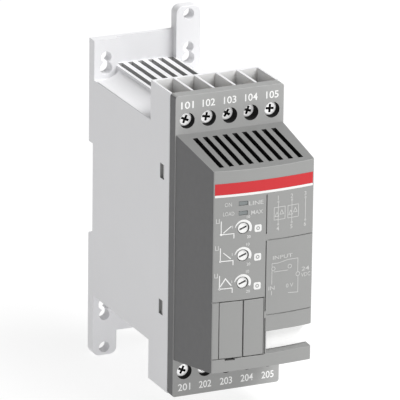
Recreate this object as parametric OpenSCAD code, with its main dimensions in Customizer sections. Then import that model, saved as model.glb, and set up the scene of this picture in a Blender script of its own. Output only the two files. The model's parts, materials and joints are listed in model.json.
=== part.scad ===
// Compact soft starter for a motor: a light base that snaps on a mounting rail,
// a dark front hood with two rows of screw terminals, and the electronics between them.
// Millimetres. X runs across the unit, Z up along it, and the front faces -Y.
// The origin lies on the mounting plane, at the middle of the rail recess.
// Depths are measured from the mounting plane towards the front.

/* [Overall] */
// Width across the side walls
unit_w = 45; // [44:0.5:50]
// Depth from the mounting plane to the crown of the front face
unit_d = 114; // [110:1:125]
// Height of the body without its two tall tabs
body_h = 120.6; // [118:0.2:130]

/* [Base] */
// Depth of the light base, up to the parting line
base_d = 76.4; // [75:0.2:82]
// Wall thickness of the base
base_wall = 1.5; // [1.2:0.1:2]
// Thickness of the back plate past the roof
plate_t = 2; // [1.6:0.1:2.6]
// Depth at which the terminal pillars start
pillar_d = 58.5; // [56.5:0.1:59.5]
// Step from the body's end down to the slotted roof
roof_drop = 11; // [9:0.5:13]
// Step from the body's end down to the screwdriver notch
notch_drop = 16; // [14.6:0.2:17]
// Width of a screwdriver notch
notch_w = 9.5; // [9:0.1:10.5]
// Fillet where a notch meets the middle of the body
notch_r = 3.5; // [1:0.5:4.5]
// Radius of the hollow slope along a notch
cove_r = 15; // [14:0.5:20]
// Width of one roof slot
slot_w = 2.2; // [1:0.05:2.4]
// Spacing of the roof slots
slot_pitch = 4.28; // [3.6:0.02:4.4]

/* [Fixing tabs] */
// Width of a tab
tab_w = 10.2; // [9.6:0.1:11]
// Thickness of a tab
tab_t = 5; // [4:0.1:6]
// How far a tall tab stands past the body
tab_rise = 9.7; // [8.5:0.1:13]
// Corner radius of a tall tab
tab_r = 2.8; // [1:0.1:4]
// Spacing of the two columns of fixing holes
fix_span = 35; // [34:0.5:35.5]
// Diameter of a round fixing hole
fix_d = 4.5; // [4:0.1:5]
// Distance of a round hole past the body's end
fix_rise = 6.4; // [5.5:0.1:6.6]
// Distance of a keyhole's outer lobe from the body's end
key_out = 7.1; // [6:0.1:7.6]
// Spacing of a keyhole's two lobes
key_step = 4.5; // [3.8:0.1:4.8]
// Diameter of a keyhole's inner lobe
key_d = 5.2; // [4.6:0.1:5.6]
// Width of a keyhole's waist
key_waist = 2.4; // [1.8:0.1:3]

/* [Rail seat] */
// Height of the rail recess
rail_h = 36; // [35.4:0.1:37]
// Depth of the rail recess
rail_t = 3.6; // [3.3:0.1:4]
// Slant of the recess at its lower edge
rail_slant = 1.5; // [0.5:0.1:2]
// Overhang of the hooks behind the rail's edges
hook_lap = 1.4; // [1:0.1:1.8]
// Thickness of the hooks
hook_t = 2.4; // [1.8:0.1:2.6]
// Width of the sliding latch
latch_w = 12; // [10:0.5:14]
// Thickness of the sliding latch
latch_t = 3; // [2.6:0.1:3.2]
// Travel of the latch
latch_travel = 4; // [3:0.5:5]

/* [Terminals] */
// Thickness of the side walls beside the outer terminal cells
cell_side = 1.1; // [0.9:0.1:1.6]
// Height of a terminal face
term_h = 15.2; // [14.6:0.1:15.6]
// Thickness of a terminal block in front of the parting line
term_t = 5.1; // [4.6:0.1:6]
// Thickness of the walls between the terminal cells
cell_wall = 1.2; // [1:0.1:1.4]
// Distance of the screw axes from the body's end
screw_in = 10; // [9.6:0.1:10.4]
// Diameter of a screwdriver well
well_d = 6.2; // [6:0.1:6.8]
// Diameter of a screw head
head_d = 5.6; // [5:0.1:5.8]
// Height of a screw head
head_h = 3.2; // [3:0.1:3.6]
// Diameter of a screw shank
shank_d = 3.4; // [3:0.1:3.8]
// Depth of an open screw's head below the terminal face
head_sink = 2.2; // [1.8:0.1:2.4]
// Travel of a clamp from open to shut
clamp_travel = 2.4; // [1.8:0.1:2.6]
// Room for a wire in an open clamp
wire_gap = 3.6; // [3.2:0.1:4]
// Thickness of a clamp's saddle plate
saddle_t = 1; // [0.8:0.1:1.2]
// Thickness of a terminal bar
bar_t = 1.2; // [1:0.1:1.5]

/* [Front hood] */
// Wall thickness of the hood
hood_wall = 1.8; // [1.5:0.1:2.2]
// Step from the terminal block's side to the hood's side
hood_step = 0.4; // [0.2:0.1:0.8]
// Taper of each side up to the front face
side_taper = 1.4; // [0.5:0.1:2]
// Taper of each vented end up to the front face
end_taper = 5.4; // [4:0.1:7]
// Crown of the front face across its width
crown = 1.6; // [1:0.1:2.2]
// Rounding of the front face's long edges
edge_r = 0.8; // [0.4:0.1:1.4]
// Width of one vent slot
vent_w = 1.95; // [1.1:0.05:2.2]
// Spacing of the vent slots
vent_pitch = 4.06; // [3.6:0.02:4.2]
// Distance of the vent slots from the terminal face
vent_back = 4.1; // [3:0.1:5]
// Distance of the vent slots from the front face
vent_front = 4; // [3.6:0.1:5]

/* [Front face] */
// Column of the dials and lamps, measured from the middle
dial_x = -8.8; // [-9.4:0.1:-8.4]
// Height of the middle dial
dial_z = 6; // [5.4:0.1:6.4]
// Spacing of the dials
dial_pitch = 10.8; // [10:0.1:11]
// Diameter of a dial
dial_d = 4.1; // [3.8:0.1:4.4]
// Height of the upper lamp window
lamp_z = 26.6; // [26.2:0.1:27]
// Spacing of the two lamp windows
lamp_pitch = 3.8; // [3.4:0.1:4.2]
// Width of a lamp window
lamp_w = 3.6; // [3:0.1:4]
// Height of a lamp window
lamp_h = 1.7; // [1.4:0.1:2]
// Line between the left and right columns
column_x = 0.6; // [0.4:0.1:1]
// Left edge of the port covers
cover_x = -17.7; // [-18:0.1:-17.2]
// Seam between the two port covers
cover_seam_x = -8.3; // [-8.8:0.1:-7.8]
// Upper edge of the port covers
cover_top = -11.8; // [-12.2:0.1:-11.6]
// Lower edge of the port covers and of the tag pocket
cover_bottom = -34.5; // [-34.9:0.1:-34.2]
// Thickness of the port covers at the crown
cover_t = 1.4; // [1.2:0.1:1.6]
// Upper edge of the tag pocket
tag_top = -25.6; // [-26.2:0.1:-25]
// Depth of the tag's face below the front face
tag_sink = 4; // [2:0.1:4.4]
// Thickness of the tag
tag_t = 1.2; // [0.8:0.1:1.6]

/* [Boards] */
// Thickness of the circuit boards
board_t = 1.6; // [1.2:0.1:2]
// Distance of the control board behind the crown of the front face
control_in = 9.4; // [9:0.1:10.4]
// Diameter of the control board's screws
board_screw_d = 2; // [1.8:0.1:2.4]

/* [Hidden] */
$fn = 48;

// Clearances: half the parting line, loose pieces, guided pieces and turning pieces
seam = 0.15;
fit = 0.2;
play = 0.3;
run = 0.07;
// Overshoot of a cut past the face that it opens
cut = 1;

// Terminal rows
term_n = 5;
row_names = ["top", "bottom"];
// Share of its travel that each clamp of a row stands driven in
clamp_share = [0, 0, 0.4, 0.5, 0];

half_w = unit_w / 2;
end_z = body_h / 2;
roof_z = end_z - roof_drop;
notch_z = end_z - notch_drop;
notch_x = half_w - notch_w;
tab_x = half_w - tab_w;
fix_x = fix_span / 2;

// The slope runs from below the roof's edge out to the side wall, and leaves room at the tab
cove_d = tab_t + 3;
cove_from = [notch_x, roof_z - 1.2];
cove_to = [half_w, notch_z + 0.3];
cove_run = cove_to - cove_from;
cove_axis = (cove_from + cove_to) / 2
    + [-cove_run[1], cove_run[0]] * sqrt(pow(cove_r / norm(cove_run), 2) - 1 / 4);

// Rail seat and latch
rail_top = rail_h / 2;
back_d = rail_t + 2.8;
latch_end = end_z - 1.8;
hook_x = 5;
hook_w = 8;
guide_wall = 1.5;
latch_flange = 1.1;
latch_lip = 1.9;
window_w = 5.2;
spring_foot = -40;
foot_h = 2;
window_bottom = spring_foot - 2 * foot_h;
grip_z = 1.6;
grip_h = 3;
spring_shut = 6;
spring_len = latch_travel + spring_shut;
window_top = spring_foot + spring_len + fit;

// Inside of the base
room_x = half_w - base_wall;
room_z = notch_z - base_wall;
loft_x = notch_x - base_wall;
loft_z = roof_z - base_wall;
slot_n = 6;

// Terminal cells, blocks and clamps, as depths
cell_z = end_z - term_h;
cell_x = (unit_w - 2 * cell_side - (term_n - 1) * cell_wall) / term_n;
term_pitch = cell_x + cell_wall;
cell_floor_d = pillar_d + cell_wall;
screw_z = end_z - screw_in;
term_d = base_d + term_t;
head_front_d = term_d - head_sink;
head_back_d = head_front_d - head_h;
saddle_front_d = head_back_d - run;
saddle_back_d = saddle_front_d - saddle_t;
saddle_w = cell_x - 2 * play;
bar_front_d = saddle_back_d - wire_gap;
bar_back_d = bar_front_d - bar_t;
tip_gap = 0.6;
screw_tip_d = cell_floor_d + clamp_travel + tip_gap;
bar_w = saddle_w;
bar_tail_w = bar_w - 2 * bar_t;

// Boards
power_back_d = cell_floor_d;
power_d = power_back_d + board_t;
control_d = unit_d - control_in;
control_back_d = control_d - board_t;
link_h = 16;
bar_leg_z = room_z - 0.4;

// Front hood
hood_x = half_w - hood_step;
front_x = hood_x - side_taper;
front_z = cell_z - end_taper;
crown_r = (front_x * front_x + crown * crown) / (2 * crown);
crown_y = crown_r - unit_d;
front_back_d = unit_d - crown - 2 * hood_wall;
edge_steps = 6;
vent_n = 9;
snap_z = 27.3;
snap_h = 5.9;
snap_w = 3.7;
snap_in = 6.5;
snap_d = base_d - snap_in;
snap_t = 1.3;

// Control board posts
post_x = front_x - 4.3;
post_heights = [33, -8.6];
post_d = 4.4;
post_hole = 4;
board_head_d = 3.8;
board_head_t = 1.4;

// Front face details
dial_sink = 0.35;
dial_hole_d = dial_d + 0.6;
pot_w = 6.4;
pot_t = 4.6;
pot_d = control_d + pot_t;
stem_d = 2.4;
stem_len = 2.6;
lamp_x = dial_x - 0.15;
lamp_sink = 0.1;
led_t = 1.1;
groove = 0.45;
groove_deep = 0.7;
line_w = 0.4;
cover_seam = 0.5;
port_span = [cover_x, cover_seam_x - cover_seam / 2];
blank_span = [cover_seam_x + cover_seam / 2, column_x - groove - fit];
cover_lip = 0.9;
cover_leg_len = 3;
cover_leg_t = 1.1;
pry_in = 2.3;
pry_w = 4;
pry_h = 0.9;
field_top = 28.9;
field_mid = 10.7;
field_low = -19.1;
column_spans = [[field_mid + 2.6, field_top], [field_low + 1.6, field_mid], [cover_bottom, field_low - 1]];
tag_x = column_x + 0.6;
block_r = 1.2;

// Heat sink and its packs
sink_w = 35;
sink_h = 80;
lead_len = 5.7;
sink_base_t = 4;
fin_t = 1.4;
fin_n = 8;
pack_w = 15;
pack_h = 20;
pack_t = 6;
pack_x = 8.6;
sink_front_d = power_back_d - lead_len - pack_t;

// Parts on the power board
relay_w = 15;
relay_h = 19;
relay_t = 15.6;
relay_z = 24;
can_d = 12.5;
can_len = 20;
can_groove = 0.6;
can_x = -pack_x - 1;
can_z = -24;
core_w = 19;
core_h = 16;
core_t = 12;
coil_w = 12;
coil_h = 21;
coil_t = 18;
core_x = pack_x + 1;
core_z = -25;

SINGLE_NODES = [
    "base_housing", "front_housing", "rail_latch", "latch_spring", "port_cover", "blank_cover",
    "function_tag", "control_board", "power_board", "link_board", "heat_sink", "supply_transformer",
    "filter_capacitor", "port_connector", "board_screws"
];

// Depth of the crowned front face at a place across the unit
function front_d(x) = sqrt(crown_r * crown_r - x * x) - crown_y;

// Place of a terminal across the unit
function term_x(i) = (i - (term_n + 1) / 2) * term_pitch;

// How far a terminal's clamp stands from open
function clamp_at(i) = clamp_share[i - 1] * clamp_travel;

function dial_height(i) = dial_z + (2 - i) * dial_pitch;

function lamp_height(i) = lamp_z - (i - 1) * lamp_pitch;

// Box between two places across, two depths and two heights
module slab(x0, x1, d0, d1, z0, z1) {
    translate([x0, -d1, z0]) cube([x1 - x0, d1 - d0, z1 - z0]);
}

// Box that is centred across the unit
module middle_slab(w, d0, d1, z0, z1) {
    slab(-w / 2, w / 2, d0, d1, z0, z1);
}

// Round bar or hole that runs along the depth
module rod(x, z, d0, d1, dia) {
    translate([x, -d0, z]) rotate([90, 0, 0]) cylinder(d = dia, h = d1 - d0);
}

// Repeats its children at the upper and lower end
module both_ends() {
    for (s = [0, 1]) mirror([0, 0, s]) children();
}

// Repeats its children at the left and right side
module both_sides() {
    for (s = [0, 1]) mirror([s, 0, 0]) children();
}

// Profile in the depth and height plane, swept across a width
module swept_across(w, points) {
    translate([-w / 2, 0, 0]) rotate([90, 0, 90]) linear_extrude(height = w) polygon(points);
}

// Everything behind the crowned front face, or behind a copy of it set back
module behind_front(back = 0) {
    translate([0, crown_y, -end_z]) cylinder(r = crown_r - back, h = body_h, $fn = 180);
}

// Fixing tabs and their holes
module short_tab() {
    slab(tab_x, half_w, 0, tab_t, notch_z, end_z);
}

module tall_tab() {
    reach = end_z + tab_rise;
    slab(tab_x, half_w, 0, tab_t, notch_z, reach - tab_r);
    slab(tab_x + tab_r, half_w - tab_r, 0, tab_t, notch_z, reach);
    for (x = [tab_x + tab_r, half_w - tab_r]) rod(x, reach - tab_r, 0, tab_t, 2 * tab_r);
}

module keyhole() {
    outer_z = end_z - key_out;
    rod(fix_x, outer_z, -cut, tab_t + cut, fix_d);
    rod(fix_x, outer_z - key_step, -cut, tab_t + cut, key_d);
    slab(fix_x - key_waist / 2, fix_x + key_waist / 2, -cut, tab_t + cut, outer_z - key_step, outer_z);
}

// The tall tabs stand at opposite corners, so half a turn about the depth maps one on the other
module half_turns() {
    for (a = [0, 180]) rotate([0, a, 0]) children();
}

// Fillet along the inner edge of a screwdriver notch
module notch_fillet() {
    difference() {
        slab(notch_x - cut, notch_x + notch_r, tab_t, pillar_d, notch_z - cut, notch_z + notch_r);
        rod(notch_x + notch_r, notch_z + notch_r, tab_t - cut, pillar_d + cut, 2 * notch_r);
    }
}

// Hollow slope that fills a notch in front of its tab
module notch_cove() {
    difference() {
        slab(notch_x - cut, half_w, cove_d, pillar_d + cut, notch_z - cut, roof_z);
        rod(cove_axis[0], cove_axis[1], cove_d - cut, pillar_d + 2 * cut, 2 * cove_r);
    }
}

module base_solid() {
    middle_slab(unit_w, 0, base_d - seam, -notch_z, notch_z);
    middle_slab(2 * notch_x, 0, pillar_d + cut, -roof_z, roof_z);
    middle_slab(unit_w, 0, plate_t, -end_z, end_z);
    both_ends() {
        middle_slab(unit_w, pillar_d, base_d - seam, 0, end_z);
        both_sides() {
            notch_fillet();
            notch_cove();
        }
    }
    half_turns() {
        tall_tab();
        mirror([1, 0, 0]) short_tab();
    }
    latch_guide();
}

// Raised guide that carries the latch past the floor of the body
module latch_guide() {
    depth = max(tab_t, latch_t + 2 * fit + guide_wall);
    middle_slab(2 * tab_x + 2 * cut, 0, depth, -end_z, -roof_z + cut);
}

module latch_channel() {
    middle_slab(latch_w + 2 * fit, -cut, latch_t + 2 * fit, -end_z - cut, -rail_top + cut);
    middle_slab(latch_w + 2 * latch_flange + 2 * fit, latch_lip - fit, latch_t + 2 * fit,
        -end_z - cut, -rail_top + cut);
}

module rail_recess() {
    swept_across(unit_w + 2 * cut, [
        [cut, rail_top], [-rail_t, rail_top], [-rail_t, -rail_top],
        [0, -rail_top - rail_slant], [cut, -rail_top - rail_slant]
    ]);
}

module base_rooms() {
    middle_slab(2 * room_x, back_d, base_d + cut, -room_z, room_z);
    middle_slab(2 * loft_x, back_d, pillar_d - base_wall, -loft_z, loft_z);
}

module roof_slots(start_d) {
    for (i = [1:slot_n]) translate([(i - (slot_n + 1) / 2) * slot_pitch, 0, 0])
        middle_slab(slot_w, start_d, pillar_d - 2 * base_wall, loft_z - 2 * base_wall, roof_z + cut);
}

module terminal_cells() {
    for (i = [1:term_n]) translate([term_x(i), 0, 0]) {
        middle_slab(cell_x, cell_floor_d, base_d + cut, cell_z, end_z + cut);
        middle_slab(bar_tail_w + 2 * fit, bar_back_d - fit, bar_front_d + fit, room_z - cut, cell_z + cut);
    }
}

module snap_windows() {
    both_ends() both_sides()
        slab(room_x - cut, half_w + cut, snap_d - snap_w / 2, snap_d + snap_w / 2,
            snap_z - snap_h / 2, snap_z + snap_h / 2);
}

// Ribs on the side walls that the power board stops against
module board_ribs() {
    rib_z = 30;
    both_ends() both_sides()
        slab(room_x - 2.4, room_x + base_wall / 2, back_d - cut, power_back_d, rib_z - 1, rib_z + 1);
}

// Fixed hooks over the upper edge of the rail
module rail_hooks() {
    both_sides() slab(hook_x, hook_x + hook_w, 0, hook_t, rail_top - hook_lap, rail_top + cut);
}

module base_housing() {
    color("gainsboro") {
        difference() {
            base_solid();
            base_rooms();
            both_ends() terminal_cells();
            roof_slots(plate_t + 0.6);
            mirror([0, 0, 1]) roof_slots(back_d + 0.6);
            half_turns() {
                rod(fix_x, end_z + fix_rise, -cut, tab_t + cut, fix_d);
                keyhole();
                mirror([1, 0, 0]) keyhole();
            }
            rail_recess();
            latch_channel();
            snap_windows();
        }
        board_ribs();
        rail_hooks();
        middle_slab(window_w - 2 * fit, hook_t / 2, back_d - cut, spring_foot - foot_h, spring_foot);
    }
}

// Latch that slides down to let go of the rail
module rail_latch() {
    color("darkgray") difference() {
        union() {
            middle_slab(latch_w, fit, latch_t + fit, -latch_end, -rail_top - rail_slant - fit);
            middle_slab(latch_w + 2 * latch_flange, latch_lip, latch_t + fit,
                -latch_end, -rail_top - rail_slant - fit);
            swept_across(latch_w - 2, [
                [-fit, -rail_top - rail_slant - cut], [-fit, -rail_top - 0.4],
                [-hook_t, -rail_top + hook_lap], [-hook_t - 0.2, -rail_top - rail_slant - cut]
            ]);
        }
        middle_slab(window_w, -cut, latch_t + cut, window_bottom, window_top);
        middle_slab(window_w, -cut, latch_t + cut, -latch_end + grip_z, -latch_end + grip_z + grip_h);
    }
}

// Coil spring between the foot on the base and the upper edge of the latch's window
module latch_spring() {
    turns = 7;
    steps = 12;
    sides = 8;
    coil_r = 0.9;
    wire_r = 0.2;
    wire_z0 = spring_foot + wire_r + run;
    rise = spring_len - 2 * wire_r - run;
    rings = turns * steps;
    function ring_point(k, j) =
        let (a = 360 * k / steps, b = 360 * j / sides, r = coil_r + wire_r * cos(b))
        [r * cos(a), r * sin(a) - fit - latch_t / 2, wire_z0 + rise * k / rings + wire_r * sin(b)];
    points = [for (k = [0:rings]) for (j = [0:sides - 1]) ring_point(k, j)];
    sides_faces = [for (k = [0:rings - 1]) for (j = [0:sides - 1])
        let (a = k * sides + j, b = k * sides + (j + 1) % sides) [a, b, b + sides, a + sides]];
    end_faces = [
        [for (j = [sides - 1:-1:0]) j],
        [for (j = [0:sides - 1]) rings * sides + j]
    ];
    color("silver") polyhedron(points, concat(sides_faces, end_faces), convexity = 8);
}

// Outline of the hood, set in by a wall thickness on every side
module hood_form(inset) {
    rear = cut * sign(inset) - base_d - seam;
    intersection() {
        swept_across(unit_w, [
            [rear, cell_z - inset], [-term_d, cell_z - inset], [-unit_d, front_z - inset],
            [-unit_d, -front_z + inset], [-term_d, -cell_z + inset], [rear, -cell_z + inset]
        ]);
        translate([0, 0, -end_z]) linear_extrude(height = body_h) polygon([
            [hood_x - inset, rear], [hood_x - inset, -term_d], [front_x - inset, -unit_d],
            [-front_x + inset, -unit_d], [-hood_x + inset, -term_d], [-hood_x + inset, rear]
        ]);
        behind_front(inset);
    }
}

// Cut that rounds the long edges between the crowned front face and the tapered sides
module edge_rounding() {
    t = side_taper / (unit_d - term_d);
    k = 1 + t * t;
    m = hood_x + t * term_d - edge_r * sqrt(k);
    b = crown_y - m * t;
    mid_d = (sqrt(b * b - k * (m * m + crown_y * crown_y - pow(crown_r - edge_r, 2))) - b) / k;
    mid_x = m - t * mid_d;
    start = atan2(mid_x, mid_d + crown_y);
    sweep = atan2(1, t) - start;
    function rim(share, r) =
        let (a = start + share * sweep) [mid_x + r * sin(a), -mid_d - r * cos(a)];
    both_sides() translate([0, 0, -end_z]) linear_extrude(height = body_h) polygon(concat(
        [for (i = [0:edge_steps]) rim(i / edge_steps, edge_r)],
        [rim(1, 3 * edge_r), rim(0.5, 5 * edge_r), rim(0, 3 * edge_r)]
    ));
}

module rounded_hood() {
    difference() {
        hood_form(0);
        edge_rounding();
    }
}

module terminal_block() {
    corner_x = half_w - block_r;
    difference() {
        union() {
            middle_slab(unit_w, base_d + seam, term_d, cell_z - hood_wall, end_z - block_r);
            middle_slab(2 * corner_x, base_d + seam, term_d, cell_z, end_z);
            for (x = [-corner_x, corner_x]) rod(x, end_z - block_r, base_d + seam, term_d, 2 * block_r);
        }
        for (i = [1:term_n]) rod(term_x(i), screw_z, base_d - cut, term_d + cut, well_d);
    }
}

// Side strips that carry the block's outline past the hood
module block_sides() {
    both_sides() slab(hood_x - hood_wall, half_w, base_d + seam, term_d, -cell_z, cell_z);
}

module vent_slots() {
    for (i = [1:vent_n]) translate([(i - (vent_n + 1) / 2) * vent_pitch, 0, 0])
        middle_slab(vent_w, term_d + vent_back, unit_d - vent_front,
            front_z - hood_wall - fit, cell_z + cut);
}

// Arms that snap into the windows of the base
module snap_arms() {
    arm_x = room_x - fit;
    arm_h = snap_h - 2 * fit;
    nose_back = snap_d - snap_w / 2 + fit;
    both_ends() both_sides() translate([0, 0, snap_z - arm_h / 2]) linear_extrude(height = arm_h) polygon([
        [arm_x - snap_t, -term_d], [arm_x - snap_t, -nose_back], [arm_x, -nose_back],
        [arm_x + snap_t, -snap_d], [arm_x + snap_t, -snap_d - snap_w / 2 + fit],
        [arm_x, -snap_d - snap_w / 2 + fit], [arm_x, -term_d]
    ]);
}

module control_posts(dia, d0, d1) {
    for (z = post_heights) both_sides() rod(post_x, z, d0, d1, dia);
}

// Level line across part of the front face
module face_line(x0, x1, z) {
    slab(x0, x1, front_back_d, unit_d + cut, z - line_w / 2, z + line_w / 2);
}

// Fine lines and fields of the front face
module face_grooves() {
    ahead_of_front(groove_deep) for (span = column_spans)
        slab(column_x - groove / 2, column_x + groove / 2, front_back_d, unit_d + cut, span[0], span[1]);
    ahead_of_front(groove_deep / 2) {
        for (z = [field_mid, field_low]) face_line(tag_x, half_w, z);
        for (z = [cover_top, cover_bottom]) face_line(-half_w, column_x - groove, z);
    }
}

// Space in front of a copy of the front face that is set back
module ahead_of_front(back) {
    difference() {
        children();
        behind_front(back);
    }
}

// Pocket for the tag, open at the right side, or the walls around it
module tag_pocket(grow) {
    ahead_of_front(tag_sink + tag_t + grow)
        slab(tag_x - grow, half_w + cut, unit_d - 4 * crown - 2 * tag_sink, unit_d + cut,
            cover_bottom - grow, tag_top + grow);
}

// Thicker wall that the port covers sit in
module cover_frame() {
    rim = 1.2;
    ahead_of_front(hood_wall + 1.5)
        slab(cover_x - rim, column_x, control_d, unit_d, cover_bottom - rim, cover_top + rim);
}

// Openings for the covers: a wide rebate for their rims and a narrower way through for each
module cover_openings() {
    ahead_of_front(cover_t + play)
        slab(cover_x - fit, column_x - groove, front_back_d, unit_d + cut, cover_bottom, cover_top);
    for (span = [port_span, blank_span])
        slab(span[0] + cover_lip, span[1] - cover_lip, unit_d - 4 * hood_wall, unit_d + cut,
            cover_bottom + cover_lip, cover_top - cover_lip);
    slab(cover_x + pry_in, cover_x + pry_in + pry_w, unit_d - crown - 1.2, unit_d + cut,
        cover_bottom - pry_h, cover_bottom + cut);
}

module front_openings() {
    for (i = [1:3]) rod(dial_x, dial_height(i), control_d, unit_d + cut, dial_hole_d);
    for (i = [1:2]) translate([lamp_x, 0, lamp_height(i)])
        middle_slab(lamp_w, unit_d - 4 * hood_wall, unit_d + cut, -lamp_h / 2, lamp_h / 2);
    cover_openings();
    face_grooves();
}

module front_housing() {
    color("dimgray") {
        difference() {
            union() {
                difference() {
                    union() {
                        rounded_hood();
                        block_sides();
                    }
                    hood_form(hood_wall);
                }
                both_ends() terminal_block();
                intersection() {
                    rounded_hood();
                    union() {
                        tag_pocket(base_wall);
                        cover_frame();
                        control_posts(post_d, control_d, unit_d);
                    }
                }
            }
            both_ends() vent_slots();
            tag_pocket(0);
            front_openings();
            control_posts(board_screw_d + 2 * fit, control_d - cut, control_d + post_hole);
        }
        snap_arms();
    }
}

// Cover plate with two legs that grip behind the rebate
module cover_plate(span) {
    leg_z = (cover_top + cover_bottom) / 2;
    leg_h = 6;
    leg_in = cover_lip + fit;
    intersection() {
        ahead_of_front(cover_t)
            slab(span[0], span[1], front_back_d, unit_d, cover_bottom + fit, cover_top - fit);
        behind_front();
    }
    for (x = [span[0] + leg_in, span[1] - leg_in - cover_leg_t])
        slab(x, x + cover_leg_t, unit_d - cover_leg_len - crown, front_d(x) - cover_t / 2,
            leg_z - leg_h / 2, leg_z + leg_h / 2);
}

module port_cover() {
    color("gray") cover_plate(port_span);
}

module blank_cover() {
    color("gray") cover_plate(blank_span);
}

// Blank writing tag that lies at the bottom of its pocket
module function_tag() {
    color("white") intersection() {
        ahead_of_front(tag_sink + tag_t)
            slab(tag_x + fit, front_x - fit, unit_d - 2 * crown - tag_sink - tag_t, unit_d,
                cover_bottom + fit, tag_top - fit);
        behind_front(tag_sink);
    }
}

// Slotted dial with a stem that turns in its potentiometer
module dial(i) {
    face_d = front_d(dial_x) - dial_sink;
    nick_w = 0.7;
    nick_deep = 0.8;
    nick_turn = -20;
    reach = 0.38 * dial_d;
    color("white") translate([dial_x, 0, dial_height(i)]) difference() {
        union() {
            rod(0, 0, pot_d + run, face_d, dial_d);
            rod(0, 0, pot_d - stem_len, pot_d + 2 * run, stem_d);
        }
        rotate([0, nick_turn, 0])
            slab(-reach, reach, face_d - nick_deep, unit_d, -nick_w / 2, nick_w / 2);
    }
}

module potentiometer(i) {
    color("steelblue") translate([dial_x, 0, dial_height(i)]) difference() {
        middle_slab(pot_w, control_d, pot_d, -pot_w / 2, pot_w / 2);
        rod(0, 0, pot_d - stem_len - run, pot_d + cut, stem_d + 2 * run);
    }
}

module light_pipe(i) {
    rim = 0.1;
    color("lightcyan") translate([lamp_x, 0, lamp_height(i)])
        middle_slab(lamp_w - 2 * rim, control_d + led_t + run, front_d(lamp_x) - lamp_sink,
            -lamp_h / 2 + rim, lamp_h / 2 - rim);
}

module status_led(i) {
    color("seagreen") translate([lamp_x, 0, lamp_height(i)])
        middle_slab(lamp_w - 0.6, control_d, control_d + led_t, -lamp_h / 2 + 0.1, lamp_h / 2 - 0.1);
}

module control_board() {
    board_x = front_x - hood_wall - 0.6;
    board_z = front_z - hood_wall + 0.6;
    color("darkgreen") difference() {
        middle_slab(2 * board_x, control_back_d, control_d, -board_z, board_z);
        control_posts(board_screw_d + fit, control_back_d - cut, control_d + cut);
    }
}

// Screws that hold the control board to its posts
module board_screws() {
    color("silver") {
        control_posts(board_head_d, control_back_d - board_head_t, control_back_d);
        control_posts(board_screw_d, control_back_d - cut, control_d + post_hole - fit);
    }
}

module power_board() {
    color("darkgreen") middle_slab(2 * (room_x - fit), power_back_d, power_d, -room_z + fit, room_z - fit);
}

// Small board that joins the power board to the control board
module link_board() {
    color("darkgreen") middle_slab(board_t, power_d, control_back_d, -link_h / 2, link_h / 2);
}

// Extruded sink whose fins run up the unit below the roof slots
module heat_sink() {
    fin_pitch = (sink_w - fin_t) / (fin_n - 1);
    color("lightgray") {
        middle_slab(sink_w, sink_front_d - sink_base_t, sink_front_d, -sink_h / 2, sink_h / 2);
        for (i = [0:fin_n - 1]) translate([i * fin_pitch - (sink_w - fin_t) / 2, 0, 0])
            middle_slab(fin_t, back_d + fit, sink_front_d - sink_base_t / 2, -sink_h / 2, sink_h / 2);
    }
}

// Pair of thyristors in one moulded pack, with three legs into the power board
module thyristor_pack(i) {
    leg_pitch = 4;
    color("black") translate([i == 1 ? -pack_x : pack_x, 0, 0]) {
        middle_slab(pack_w, sink_front_d, sink_front_d + pack_t, -pack_h / 2, pack_h / 2);
        for (k = [-1:1]) translate([k * leg_pitch, 0, 0])
            middle_slab(1.4, sink_front_d + pack_t - cut, power_back_d, -pack_h / 2 + 2, -pack_h / 2 + 2.8);
    }
}

module bypass_relay(i) {
    color("black") translate([i == 1 ? -pack_x : pack_x, 0, relay_z])
        middle_slab(relay_w, power_d, power_d + relay_t, -relay_h / 2, relay_h / 2);
}

module filter_capacitor() {
    r = can_d / 2;
    color("navy") translate([can_x, -power_d, can_z]) rotate([90, 0, 0]) rotate_extrude() polygon([
        [0, 0], [r, 0], [r, 2], [r - can_groove, 2 + can_groove], [r, 2 + 2 * can_groove],
        [r, can_len - can_groove], [r - can_groove, can_len], [0, can_len]
    ]);
}

// Mains transformer: a winding on a bobbin inside a square core
module supply_transformer() {
    core_d = power_d + (coil_t - core_t) / 2;
    color("orange") translate([core_x, 0, core_z]) {
        middle_slab(core_w, core_d, core_d + core_t, -core_h / 2, core_h / 2);
        middle_slab(coil_w, power_d, power_d + coil_t, -coil_h / 2, coil_h / 2);
    }
}

// Plug header that the port cover hides
module port_connector() {
    header_w = 4.6;
    header_h = 15;
    header_t = 4.4;
    shell_t = 0.8;
    pin_w = 0.64;
    pin_pitch = 2.54;
    floor_d = control_d + 1.2;
    color("black") translate([(port_span[0] + port_span[1]) / 2, 0, (cover_top + cover_bottom) / 2]) {
        difference() {
            middle_slab(header_w, control_d, control_d + header_t, -header_h / 2, header_h / 2);
            middle_slab(header_w - 2 * shell_t, floor_d, unit_d,
                -header_h / 2 + shell_t, header_h / 2 - shell_t);
        }
        for (k = [-2:2]) translate([0, 0, k * pin_pitch])
            middle_slab(pin_w, floor_d - cut / 2, control_d + header_t - 0.4, -pin_w / 2, pin_w / 2);
    }
}

// Screw with a slotted cross recess, at a given clamp position
module terminal_screw(i) {
    r = head_d / 2;
    edge = 0.5;
    len = head_front_d - screw_tip_d;
    slot = 0.8;
    slot_deep = 1.4;
    slot_reach = 0.72 * r;
    turn_step = 37;
    color("silver") translate([term_x(i), clamp_at(i) - head_front_d, screw_z])
        rotate([0, i * turn_step, 0]) difference() {
            rotate([-90, 0, 0]) rotate_extrude() polygon([
                [0, 0], [r - edge, 0], [r, edge], [r, head_h], [shank_d / 2, head_h],
                [shank_d / 2, len - edge], [shank_d / 2 - edge, len], [0, len]
            ]);
            for (a = [0, 90]) rotate([0, a, 0])
                translate([-slot_reach, -cut, -slot / 2]) cube([2 * slot_reach, cut + slot_deep, slot]);
        }
}

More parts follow.
